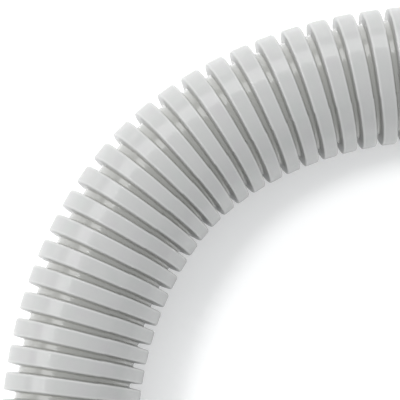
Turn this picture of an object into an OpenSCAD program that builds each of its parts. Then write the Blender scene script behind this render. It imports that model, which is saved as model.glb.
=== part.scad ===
// Corrugated pliable conduit, 25 mm over the ridges, lying flat with one square bend.
// One moulded tube: ring-shaped ridges at an even pitch, a thin wall that follows them inside
// and out, two straight legs and a bend that is tightest in its middle.
// Units are millimetres, +Z is up. The first leg runs along +Y, the second along +X.

/* [Section] */

// outside diameter over the ridges
outer_d = 25; // [20:0.5:27]
// depth of the grooves, from the top of a ridge to the floor beside it
groove_depth = 2.25; // [1.6:0.05:2.8]
// thickness of the wall
wall = 0.4; // [0.3:0.05:0.5]
// distance from one ridge to the next along a straight leg
pitch = 4.37; // [4.2:0.01:6]
// width of a ridge, half way up its sides
ridge_w = 2.9; // [2.8:0.05:3]
// rounding of a ridge's shoulders
shoulder_r = 0.55; // [0.55:0.05:0.6]
// rounding at the foot of a ridge
foot_r = 0.3; // [0.2:0.05:0.35]
// lean of a ridge's sides from square
lean = 5; // [3:1:7]

/* [Run] */

// ridges on each straight leg
leg_rings = 99; // [10:1:120]
// ridges in the bend
bend_rings = 31; // [31:2:59]
// how far the run turns
bend_angle = 90; // [30:5:90]
// how much tighter the middle of the bend is than its sides
tightness = 0.8; // [0:0.05:0.8]
// ridges over which the middle tightens, each way
tight_span = 2.2; // [1:0.1:6]
// ridges over which the bend eases into each leg
ease_span = 7; // [1:0.5:7]
// part of the turning that the ridges take, the grooves take the rest
ridge_share = 0.54; // [0.5:0.01:0.56]

/* [Hidden] */

$fn = 48;
r_ridge = outer_d / 2;
r_groove = r_ridge - groove_depth;
steps = 2; // chords in each rounding
seat = 0.03; // how far a piece of the bend runs on past the piece that it holds
lip = 0.15; // step in the wall between a piece of the bend and the piece that it holds

// one side of a ridge, from the groove floor up to the ridge's flat top
side_rise = groove_depth - (foot_r + shoulder_r) * (1 - sin(lean));
side_run = side_rise * tan(lean);
side_len = (foot_r + shoulder_r) * cos(lean) + side_run;
top_len = ridge_w - 2 * shoulder_r * cos(lean) - side_run;
floor_len = pitch - top_len - 2 * side_len;

// [radius, distance along the tube] up the outside and the inside of a ridge's side
outside_up = concat(
    [for (k = [0:steps]) let (a = (90 - lean) * k / steps)
        [r_groove + foot_r * (1 - cos(a)), foot_r * sin(a)]],
    [for (k = [0:steps]) let (a = (90 - lean) * (1 - k / steps))
        [r_ridge - shoulder_r * (1 - cos(a)), side_len - shoulder_r * sin(a)]]);
inside_r = shoulder_r - wall;
inside_foot = foot_r + wall;
inside_up = [
    [r_groove - wall, 0],
    [r_groove - wall, inside_foot * 0.7],
    [r_groove + foot_r - inside_foot * sin(lean), inside_foot * cos(lean) + wall * 0.1],
    [r_ridge - shoulder_r + inside_r * sin(lean), side_len - inside_r * cos(lean)],
    [r_ridge - wall, side_len]];
function flipped(pts) = [for (k = [len(pts) - 1:-1:0]) pts[k]];
function last(pts) = pts[len(pts) - 1];
// both sides of a ridge that begins at a distance along the tube
function ring_skin(up, at) = concat(
    [for (q = up) [q[0], q[1] + at]],
    [for (q = flipped(up)) [q[0], at + 2 * side_len + top_len - q[1]]]);

// turning at the middle of each ridge and each groove of the bend
mid_ring = (bend_rings - 1) / 2;
function pull(i) =
    let (x = abs(i - mid_ring))
    min(1, (mid_ring + 1 - x) / ease_span) * (1 + tightness / (1 + pow(x / tight_span, 2)));
function ridge_pull(i) = ridge_share * pull(i);
function groove_pull(i) = (1 - ridge_share) * (pull(i) + pull(i + 1)) / 2;
function pull_sum(i) = ridge_pull(i) + (i == 0 ? 0 : groove_pull(i - 1) + pull_sum(i - 1));
pull_turn = bend_angle / pull_sum(bend_rings - 1);
function ridge_turn(i) = pull_turn * ridge_pull(i);
function groove_turn(i) = pull_turn * groove_pull(i);

// places along the run are [x, y, heading], and the bend turns to the right
function ahead(p, d) = [p[0] + d * cos(p[2]), p[1] + d * sin(p[2]), p[2]];
function turned(p, a) = [p[0], p[1], p[2] - a];
function past(p, d, a) = ahead(turned(ahead(p, d / 2), a), d / 2);
function past_ridge(p, i) = ahead(past(ahead(p, side_len), top_len, ridge_turn(i)), side_len);
function past_groove(p, i) = past(p, floor_len, groove_turn(i));
function run(p, i) =
    i == bend_rings - 1 ? past_ridge(p, i) : run(past_groove(past_ridge(p, i), i), i + 1);
bend_start = [0, 0, 90];
bend_end = run(bend_start, 0);

leg_len = leg_rings * pitch + floor_len / 2;
far_end = ahead(bend_end, leg_len);
// middle of the box round the whole run
mid_x = (far_end[0] + r_ridge * sin(far_end[2]) - r_ridge) / 2;
mid_y = (far_end[1] + r_ridge * cos(far_end[2]) - leg_len) / 2;

// moves to a place on the run
module at(p) {
    translate([p[0], p[1], 0])
        rotate([0, 0, p[2]])
            children();
}

// turns a profile of [radius, distance along] round the heading of p
module lathe(p) {
    at(p)
        rotate([0, 90, 0])
            rotate_extrude()
                children();
}

// a straight leg from p, where it is cut through the middle of a groove, to the bend
module leg(p) {
    function skin(up, r) = concat(
        [[r, 0]],
        [for (i = [0:leg_rings - 1]) for (q = ring_skin(up, floor_len / 2 + i * pitch)) q],
        [[r, leg_len + 4 * seat]]);
    lathe(p)
        polygon(concat(skin(outside_up, r_groove), flipped(skin(inside_up, r_groove - wall))));
}

// a groove's floor from p, a straight band that runs into the feet on both sides
module groove_floor(p, a) {
    over = r_groove * tan(a) + seat;
    lathe(turned(p, a))
        translate([r_groove - wall, -over])
            square([wall, floor_len + 2 * over]);
}

// half a ridge, from its foot at p to near its middle
module half_ridge(p, a) {
    reach = side_len + top_len / 2 - r_ridge * tan(a) - seat;
    outside = [
        [r_groove + lip, 0],
        outside_up[steps],
        outside_up[steps + 1],
        [r_ridge - lip, side_len - shoulder_r * 0.7],
        [r_ridge - lip, reach]];
    held_r = r_groove - wall - lip;
    inside = concat(
        [[held_r, 0], [held_r, inside_up[1][1]]],
        [for (k = [2:len(inside_up) - 1]) inside_up[k]],
        [[r_ridge - wall, reach]]);
    lathe(p)
        polygon(concat(outside, flipped(inside)));
}

// the crown that joins a ridge's two halves
module crown(p, a) {
    half = 2 * r_ridge * tan(a) + 2 * seat;
    lathe(turned(ahead(p, side_len + top_len / 2), a))
        translate([r_ridge - wall - lip, -half])
            square([wall + lip, 2 * half]);
}

// the bend from the foot of ridge i on, along +X
module bend(i) {
    foot = [0, 0, 0];
    end = past_ridge(foot, i);
    half_ridge(foot, ridge_turn(i) / 2);
    crown(foot, ridge_turn(i) / 2);
    half_ridge(turned(end, 180), ridge_turn(i) / 2);
    if (i < bend_rings - 1) {
        groove_floor(end, groove_turn(i) / 2);
        at(past_groove(end, i))
            bend(i + 1);
    }
}

module conduit() {
    color([0.80, 0.81, 0.80])
        translate([-mid_x, -mid_y, r_ridge]) {
            leg([0, -leg_len, 90]);
            at(bend_start)
                bend(0);
            leg(turned(far_end, 180));
        }
}

conduit();
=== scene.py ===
import math

import bmesh
import bpy
from mathutils import Matrix, Vector


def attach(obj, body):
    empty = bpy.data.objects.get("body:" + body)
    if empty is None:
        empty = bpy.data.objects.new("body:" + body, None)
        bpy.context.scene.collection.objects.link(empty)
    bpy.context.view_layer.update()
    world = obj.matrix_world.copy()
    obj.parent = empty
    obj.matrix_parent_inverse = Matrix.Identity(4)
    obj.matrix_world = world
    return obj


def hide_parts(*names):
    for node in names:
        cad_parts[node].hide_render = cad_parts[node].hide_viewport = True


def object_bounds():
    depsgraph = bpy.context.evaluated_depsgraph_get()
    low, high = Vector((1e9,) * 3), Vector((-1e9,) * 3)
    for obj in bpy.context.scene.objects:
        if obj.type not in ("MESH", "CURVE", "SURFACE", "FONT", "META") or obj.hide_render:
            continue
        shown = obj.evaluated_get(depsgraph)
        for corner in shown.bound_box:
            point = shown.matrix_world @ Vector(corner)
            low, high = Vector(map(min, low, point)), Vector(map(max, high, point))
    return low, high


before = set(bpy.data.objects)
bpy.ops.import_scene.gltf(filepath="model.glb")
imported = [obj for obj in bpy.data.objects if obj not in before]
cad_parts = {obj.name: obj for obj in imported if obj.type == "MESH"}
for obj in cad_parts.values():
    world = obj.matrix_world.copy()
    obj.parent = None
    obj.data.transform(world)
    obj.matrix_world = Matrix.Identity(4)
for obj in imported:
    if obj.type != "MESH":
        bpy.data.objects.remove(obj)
cad_low, cad_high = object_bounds()

# ---------------------------------------------------------------- sizes, in millimetres

RIDGE_R = 12.5          # radius over the ridges
GROOVE_R = 10.25        # radius of the groove floors
WALL = 0.4
PITCH = 4.37
SHOULDER = 0.35         # rounding of a ridge's shoulders
FOOT = 0.3              # rounding at a ridge's foot
LEAN = 5.0              # degrees that a ridge's sides lean from square
RIDGE_W = 3.12          # width of a ridge, half way up

LEG_RINGS = 99
BEND_RINGS = 31
BEND_ANGLE = 90.0       # degrees
TIGHTNESS = 0.8         # how much tighter the middle of the bend is than its sides
TIGHT_SPAN = 2.2        # ridges over which the middle tightens, each way
EASE_SPAN = 7.0         # ridges over which the bend eases into each leg
RIDGE_SHARE = 0.54      # part of the turning that the ridges take

COLUMNS = 64            # steps round the tube
PARTING = 21.0          # degrees from the top to the parting line, towards the inside of the bend
FLASH_W = 0.5           # degrees that the parting line takes up
FLASH_H = 0.02          # how far it stands proud on the ridges' sides and the groove floors
FLASH_SUNK = 0.004      # how far it is rubbed down on the ridges' tops
MISMATCH = 0.08         # how far one half of the mould sits along from the other
TOP_RING = 0.15         # from a shoulder to the next ring on a ridge's top
NEAR = 0.05             # rings that lie closer than this count as one

# the wall's inside, where the tube is made fine
INNER_FLOOR = 0.42      # how far the inner groove floor runs under a ridge's side
INNER_RISE = 0.25       # height of its first corner
INNER_DROP = 0.2        # size of the slope under a ridge's shoulder

lean = math.radians(LEAN)
side_rise = RIDGE_R - GROOVE_R - (FOOT + SHOULDER) * (1 - math.sin(lean))
side_run = side_rise * math.tan(lean)
side_len = (FOOT + SHOULDER) * math.cos(lean) + side_run
top_len = RIDGE_W - 2 * SHOULDER * math.cos(lean) - side_run
ridge_len = 2 * side_len + top_len
floor_len = PITCH - ridge_len
leg_len = LEG_RINGS * PITCH


# ---------------------------------------------------------------- the run of the conduit

def pull(i):
    """How strongly the run turns at a ridge of the bend."""
    middle = (BEND_RINGS - 1) / 2
    x = abs(i - middle)
    return min(1, (middle + 1 - x) / EASE_SPAN) * (1 + TIGHTNESS / (1 + (x / TIGHT_SPAN) ** 2))


ridge_turns = [RIDGE_SHARE * pull(i) for i in range(BEND_RINGS)]
groove_turns = [(1 - RIDGE_SHARE) * (pull(i) + pull(i + 1)) / 2 for i in range(BEND_RINGS - 1)]
per_pull = math.radians(BEND_ANGLE) / (sum(ridge_turns) + sum(groove_turns))
ridge_turns = [t * per_pull for t in ridge_turns]
groove_turns = [t * per_pull for t in groove_turns]

# each stretch of the bend is (length, turn), beginning half a groove before the first ridge
stretches = [(floor_len / 2, 0.0)]
for i in range(BEND_RINGS):
    stretches += [(side_len, 0.0), (top_len, ridge_turns[i]), (side_len, 0.0)]
    if i < BEND_RINGS - 1:
        stretches.append((floor_len, groove_turns[i]))
stretches.append((floor_len / 2, 0.0))
bend_len = sum(length for length, turn in stretches)

# joints between stretches are (x, y, heading), where a heading of 90 degrees is +Y
joints = [(0.0, 0.0, math.pi / 2)]
for length, turn in stretches:
    x, y, heading = joints[-1]
    x += length / 2 * math.cos(heading)
    y += length / 2 * math.sin(heading)
    heading -= turn
    x += length / 2 * math.cos(heading)
    y += length / 2 * math.sin(heading)
    joints.append((x, y, heading))

# the run sits in the frame by its two legs, which lie along two sides of the CAD box
leg_a_x = cad_low.x * 1000 + RIDGE_R
leg_b_y = cad_high.y * 1000 - RIDGE_R
axis_z = (cad_low.z + cad_high.z) * 500
bend_y = leg_b_y - joints[-1][1]
shift = Vector((leg_a_x, bend_y, axis_z))


def straight_on(joint, d):
    """Place at a distance straight ahead of a joint."""
    x, y, heading = joint
    return x + d * math.cos(heading), y + d * math.sin(heading), heading


def on_stretch(joint, length, turn, share):
    """Place at a share of a stretch that begins at a joint."""
    if turn == 0:
        return straight_on(joint, length * share)
    x, y, heading = joint
    radius = length / 2 / math.tan(turn / 2)
    ahead = radius * math.sin(turn * share)
    aside = radius * (1 - math.cos(turn * share))
    return (
        x + ahead * math.cos(heading) + aside * math.sin(heading),
        y + ahead * math.sin(heading) - aside * math.cos(heading),
        heading - turn * share)


def along_run(d):
    """Place at a distance from the beginning of the bend; the legs lie before and after it."""
    if d <= 0:
        return straight_on(joints[0], d)
    for joint, (length, turn) in zip(joints, stretches):
        if d <= length:
            return on_stretch(joint, length, turn, d / length)
        d -= length
    return straight_on(joints[-1], d)


def centre_and_inward(d):
    """The tube's centre in the frame and the way to the inside of the bend."""
    x, y, heading = along_run(d)
    inward = Vector((math.sin(heading), -math.cos(heading), 0))
    return Vector((x, y, 0)) + shift, inward


# ---------------------------------------------------------------- the tube's section

def arc(x0, r0, radius, start, stop, count):
    """Points (distance along, radius) round a corner whose middle is at (x0, r0)."""
    angles = [start + (stop - start) * k / count for k in range(count + 1)]
    return [(x0 + radius * math.cos(a), r0 + radius * math.sin(a)) for a in angles]


def outer_side(foot_steps, shoulder_steps, fine):
    """The outside of one side of a ridge, from the groove's floor to the ridge's top."""
    up = arc(0, GROOVE_R + FOOT, FOOT, -math.pi / 2, -lean, foot_steps)
    up += arc(side_len, RIDGE_R - SHOULDER, SHOULDER, math.pi - lean, math.pi / 2, shoulder_steps)
    if fine:
        up.append((side_len + TOP_RING, RIDGE_R))
    return up


def inner_side(fine):
    """The inside of one side of a ridge, a wall's thickness from the outside."""
    inner_floor_r = GROOVE_R - WALL
    inner_top_r = RIDGE_R - WALL
    if not fine:
        return [(FOOT + WALL * 0.6, inner_floor_r), (side_len - NEAR, inner_top_r)]
    return [
        (INNER_FLOOR, inner_floor_r), (FOOT + WALL - 0.1, inner_floor_r + INNER_RISE),
        (side_len - INNER_DROP, inner_top_r - INNER_DROP), (side_len, inner_top_r)]


def ridge(side, at):
    """Both sides of a ridge that begins at a distance along the tube."""
    return [(at + x, r) for x, r in side] + [(at + ridge_len - x, r) for x, r in reversed(side)]


def skin_line(side, rings, radius, middle_rings):
    """Line along one skin of the tube, with a ring in the middle of each groove if asked."""
    points = [(0.0, radius)]
    for i in range(rings):
        points += ridge(side, floor_len / 2 + i * PITCH)
        if middle_rings and i < rings - 1:
            points.append(((i + 1) * PITCH, radius))
    points.append((rings * PITCH, radius))
    return points


def column_angle(column):
    """Angle of a column round the tube, from the top towards the inside of the bend."""
    half = COLUMNS // 2
    k, upper = column % half, column // half
    near = [FLASH_W / 2, FLASH_W * 1.5, FLASH_W * 3]
    if k < len(near):
        a = near[k]
    elif k > half - 1 - len(near):
        a = 180 - near[half - 1 - k]
    else:
        a = near[-1] + (k - 2) * (180 - 2 * near[-1]) / (half - 5)
    return math.radians(PARTING + 180 * upper + a)


def straight_tube(rings, foot_steps, shoulder_steps, fine):
    """A closed hollow length of conduit along +X, spun from its section."""
    outer = skin_line(outer_side(foot_steps, shoulder_steps, fine), rings, GROOVE_R, fine)
    inner = skin_line(inner_side(fine), rings, GROOVE_R - WALL, False)
    bm = bmesh.new()
    loop = [bm.verts.new((x, 0, r)) for x, r in outer + inner[::-1]]
    for a, b in zip(loop, loop[1:] + loop[:1]):
        bm.edges.new((a, b))
    bmesh.ops.spin(
        bm, geom=bm.verts[:] + bm.edges[:], cent=(0, 0, 0), axis=(1, 0, 0),
        angle=2 * math.pi, steps=COLUMNS, use_merge=True, use_duplicate=False)
    bmesh.ops.remove_doubles(bm, verts=bm.verts, dist=1e-5)
    return bm


def sharpen_ends(bm, length):
    """Shade everything smooth but the edges of the two cut ends."""
    for face in bm.faces:
        face.smooth = True
    for edge in bm.edges:
        one, other = (v.co.x for v in edge.verts)
        at_end = min(abs(one), abs(one - length)) < 1e-4
        edge.smooth = not (at_end and abs(one - other) < 1e-4)


def mark_and_lay(bm, start):
    """Mark the groove floors and the ridges' edges, then lay the tube along the run."""
    groove = bm.verts.layers.float.new("groove")
    rim = bm.verts.layers.float.new("rim")
    half = COLUMNS // 2
    places = {}
    for v in bm.verts:
        x, y, z = v.co
        r = math.hypot(y, z)
        outside = r > GROOVE_R - WALL / 2
        off_floor = abs(x / PITCH - round(x / PITCH)) * PITCH
        off_top = abs(x / PITCH - math.floor(x / PITCH) - 0.5) * PITCH
        # groove marks the groove floors, which get painted light in their colour and a glossier
        # coat
        v[groove] = 1.0 if outside and r < GROOVE_R + FOOT * 0.6 else 0.0
        # rim marks the ridges' shoulders, which get a painted highlight in their colour
        at_rim = r > RIDGE_R - SHOULDER * 0.6 and off_top > top_len / 2 - NEAR
        v[rim] = 1.0 if at_rim else 0.0

        column = round(math.atan2(-y, z) / (2 * math.pi / COLUMNS)) % COLUMNS
        if off_floor > NEAR:
            x += MISMATCH / 2 if column < half else -MISMATCH / 2
        if outside and column % half in (0, half - 1):
            r += FLASH_H if r < RIDGE_R - 0.2 else -FLASH_SUNK

        key = round(x, 4)
        if key not in places:
            places[key] = centre_and_inward(start + x)
        middle, inward = places[key]
        angle = column_angle(column)
        up = Vector((0, 0, math.cos(angle)))
        v.co = (middle + (inward * math.sin(angle) + up) * r) / 1000


def tube(name, rings, start, foot_steps, shoulder_steps, fine):
    """A length of conduit that begins at a distance along the run."""
    bm = straight_tube(rings, foot_steps, shoulder_steps, fine)
    sharpen_ends(bm, rings * PITCH)
    mark_and_lay(bm, start)
    bmesh.ops.recalc_face_normals(bm, faces=bm.faces)
    return link_mesh(name, bm)


def link_mesh(name, bm):
    mesh = bpy.data.meshes.new(name)
    bm.to_mesh(mesh)
    bm.free()
    piece = bpy.data.objects.new(name, mesh)
    bpy.context.scene.collection.objects.link(piece)
    return piece


bend = tube("conduit_bend", BEND_RINGS, 0, 4, 5, True)
leg_a = tube("conduit_leg_a", LEG_RINGS, -leg_len, 1, 2, False)
leg_b = tube("conduit_leg_b", LEG_RINGS, bend_len, 1, 2, False)


# ---------------------------------------------------------------- the plastic

def srgb(r, g, b):
    def linear(c):
        return c / 12.92 if c <= 0.04045 else ((c + 0.055) / 1.055) ** 2.4
    return linear(r), linear(g), linear(b), 1.0


LILAC_GREY = srgb(0.720, 0.713, 0.714)
GREEN_GREY = srgb(0.712, 0.719, 0.709)
PALE_GREY = srgb(0.727, 0.726, 0.720)
# painted light: a lighter, yellower grey for the groove floors, standing in for light and warm
# bounce light reaching them
GROOVE_PAINTED_LIGHT_GREY = srgb(0.757, 0.756, 0.733)
# painted highlight: a paler grey for the ridges' shoulders, where the rounding catches light
RIM_PAINTED_HIGHLIGHT_GREY = srgb(0.753, 0.752, 0.745)


def cloudy_plastic_group():
    """Three slow noises: the plastic's tint, its shade and how much it has been handled."""
    group = bpy.data.node_groups.new("cloudy_plastic", "ShaderNodeTree")
    group.interface.new_socket("Position", in_out="INPUT", socket_type="NodeSocketVector")
    start = group.nodes.new("NodeGroupInput")
    end = group.nodes.new("NodeGroupOutput")
    for name, scale, detail in (("Tint", 260, 2), ("Shade", 420, 4), ("Wear", 700, 1)):
        group.interface.new_socket(name, in_out="OUTPUT", socket_type="NodeSocketFloat")
        noise = group.nodes.new("ShaderNodeTexNoise")
        noise.inputs["Scale"].default_value = scale
        noise.inputs["Detail"].default_value = detail
        stretch = group.nodes.new("ShaderNodeMapRange")
        stretch.inputs["From Min"].default_value = 0.35
        stretch.inputs["From Max"].default_value = 0.65
        group.links.new(start.outputs["Position"], noise.inputs["Vector"])
        group.links.new(noise.outputs["Fac"], stretch.inputs["Value"])
        group.links.new(stretch.outputs["Result"], end.inputs[name])
    return group


def point_attribute(tree, name):
    node = tree.nodes.new("ShaderNodeAttribute")
    node.attribute_name = name
    return node.outputs["Fac"]


def mixed(tree, factor, first, second):
    """Colour that goes from first, a colour or a socket, to the colour second."""
    node = tree.nodes.new("ShaderNodeMix")
    node.data_type = "RGBA"
    sockets = {socket.name: socket for socket in node.inputs if socket.enabled}
    tree.links.new(factor, sockets["Factor"])
    if isinstance(first, tuple):
        sockets["A"].default_value = first
    else:
        tree.links.new(first, sockets["A"])
    sockets["B"].default_value = second
    return [socket for socket in node.outputs if socket.enabled][0]


def spread(tree, value, low, high):
    """A value of 0 to 1 spread from low to high."""
    node = tree.nodes.new("ShaderNodeMapRange")
    node.inputs["To Min"].default_value = low
    node.inputs["To Max"].default_value = high
    tree.links.new(value, node.inputs["Value"])
    return node.outputs["Result"]


def light_grey_pvc():
    """Cloudy grey plastic, glossier on the groove floors; painted light makes the groove floors
    lighter and yellower, and a painted highlight makes the ridges' edges paler.
    """
    material = bpy.data.materials.new("pvc_light_grey")
    material.use_nodes = True
    tree = material.node_tree
    skin = tree.nodes["Principled BSDF"]
    skin.inputs["IOR"].default_value = 1.5
    skin.inputs["Coat IOR"].default_value = 1.8
    skin.inputs["Coat Roughness"].default_value = 0.12

    cloudy = tree.nodes.new("ShaderNodeGroup")
    cloudy.node_tree = cloudy_plastic_group()
    position = tree.nodes.new("ShaderNodeTexCoord").outputs["Object"]
    tree.links.new(position, cloudy.inputs["Position"])
    groove = point_attribute(tree, "groove")
    rim = point_attribute(tree, "rim")

    grey = mixed(tree, cloudy.outputs["Tint"], LILAC_GREY, GREEN_GREY)
    grey = mixed(tree, cloudy.outputs["Shade"], grey, PALE_GREY)
    # painted light: the groove floors take the lighter, yellower grey
    grey = mixed(tree, groove, grey, GROOVE_PAINTED_LIGHT_GREY)
    # painted highlight: the ridges' shoulders take the paler grey
    grey = mixed(tree, rim, grey, RIM_PAINTED_HIGHLIGHT_GREY)
    tree.links.new(grey, skin.inputs["Base Color"])
    tree.links.new(spread(tree, groove, 0.35, 1.0), skin.inputs["Coat Weight"])
    tree.links.new(spread(tree, cloudy.outputs["Wear"], 0.28, 0.33), skin.inputs["Roughness"])
    return material


pvc = light_grey_pvc()
for part in (bend, leg_a, leg_b):
    part.data.materials.append(pvc)
    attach(part, "root")
    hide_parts("conduit")


# ---------------------------------------------------------------- floor

FLOOR_HALF = 3          # metres
FLOOR_GAP = 0.0002      # metres under the conduit
FLOOR_LIFT = 0.24       # light that the floor adds for the camera alone


def white_floor():
    """White that keeps shadows, and that the camera sees a little brighter than other rays do."""
    material = bpy.data.materials.new("floor_white")
    material.use_nodes = True
    tree = material.node_tree
    paint = tree.nodes["Principled BSDF"]
    paint.inputs["Base Color"].default_value = (0.8, 0.8, 0.8, 1)
    paint.inputs["Roughness"].default_value = 1.0
    paint.inputs["Specular IOR Level"].default_value = 0.0
    paint.inputs["Emission Color"].default_value = (1, 1, 1, 1)
    seen = tree.nodes.new("ShaderNodeLightPath")
    lift = tree.nodes.new("ShaderNodeMath")
    lift.operation = "MULTIPLY"
    lift.inputs[1].default_value = FLOOR_LIFT
    tree.links.new(seen.outputs["Is Camera Ray"], lift.inputs[0])
    tree.links.new(lift.outputs[0], paint.inputs["Emission Strength"])
    return material


bm = bmesh.new()
bmesh.ops.create_grid(bm, x_segments=1, y_segments=1, size=FLOOR_HALF)
bmesh.ops.translate(bm, verts=bm.verts, vec=(0, 0, cad_low.z - FLOOR_GAP))
floor = link_mesh("floor", bm)
floor.data.materials.append(white_floor())


# ---------------------------------------------------------------- light, in metres

PANEL_AWAY = 0.8
PANEL_LOW = 0.26
PANEL_TOP = 0.70
PANEL_WIDE = 0.58
PANEL_POWER = 1.25
TUBE_THICK = 0.008
TUBE_POWER = 0.22

bend_middle, inward = centre_and_inward(bend_len / 2)
aim = bend_middle / 1000


def lamp(name, kind, position, target, power):
    data = bpy.data.lights.new(name, kind)
    data.energy = power
    obj = bpy.data.objects.new(name, data)
    obj.location = position
    obj.rotation_euler = (target - position).to_track_quat("-Z", "Y").to_euler()
    bpy.context.scene.collection.objects.link(obj)
    return obj


def area_lamp(name, position, target, power, wide, high):
    obj = lamp(name, "AREA", position, target, power)
    obj.data.shape = "RECTANGLE"
    obj.data.size = wide
    obj.data.size_y = high
    return obj


world = bpy.data.worlds.new("room")
bpy.context.scene.world = world
world.use_nodes = True
back = world.node_tree.nodes["Background"]
back.inputs["Color"].default_value = (0.965, 0.985, 1.0, 1)
back.inputs["Strength"].default_value = 0.8

# a row of upright panels stands round the outside of the bend, each with a bright tube on top
for k, azimuth in enumerate((75, 115, 155, 195)):
    a = math.radians(azimuth)
    out = Vector((math.cos(a), math.sin(a), 0))
    stand = Vector((aim.x, aim.y, 0)) + out * PANEL_AWAY
    middle = stand + Vector((0, 0, (PANEL_LOW + PANEL_TOP) / 2))
    area_lamp(f"panel_{k}", middle, middle - out, PANEL_POWER, PANEL_WIDE, PANEL_TOP - PANEL_LOW)
    above = stand + Vector((0, 0, PANEL_TOP + TUBE_THICK / 2))
    area_lamp(f"tube_{k}", above, aim, TUBE_POWER, PANEL_WIDE, TUBE_THICK)

# a sun for the floor alone, so that the conduit's shadow lies close inside the bend
sun = lamp("floor_sun", "SUN", aim + Vector((-0.765, 0.19, 1.3)), aim, 1.15)
sun.data.angle = math.radians(14)
lit = bpy.data.collections.new("lit_by_floor_sun")
lit.objects.link(floor)
sun.light_linking.receiver_collection = lit


# ---------------------------------------------------------------- camera

VIEW_MM = 73.57         # width of what the camera sees at the height of the tube's axis
DISTANCE = 0.7          # metres from the place it looks at
SENSOR = 36

look_at = Vector((leg_a_x + 24.84, bend_y + 58.52, axis_z)) / 1000
turn = (Matrix.Rotation(math.radians(-3.0), 4, "Y")
        @ Matrix.Rotation(math.radians(3.2), 4, "X")
        @ Matrix.Rotation(math.radians(-0.52), 4, "Z"))
camera_data = bpy.data.cameras.new("camera")
camera_data.sensor_width = SENSOR
camera_data.lens = SENSOR * DISTANCE / (VIEW_MM / 1000)
camera_data.clip_start = 0.05
camera = bpy.data.objects.new("camera", camera_data)
camera.matrix_world = Matrix.Translation(look_at + turn.col[2].to_3d() * DISTANCE) @ turn
bpy.context.scene.collection.objects.link(camera)
bpy.context.scene.camera = camera

bpy.context.scene.view_settings.view_transform = "Standard"
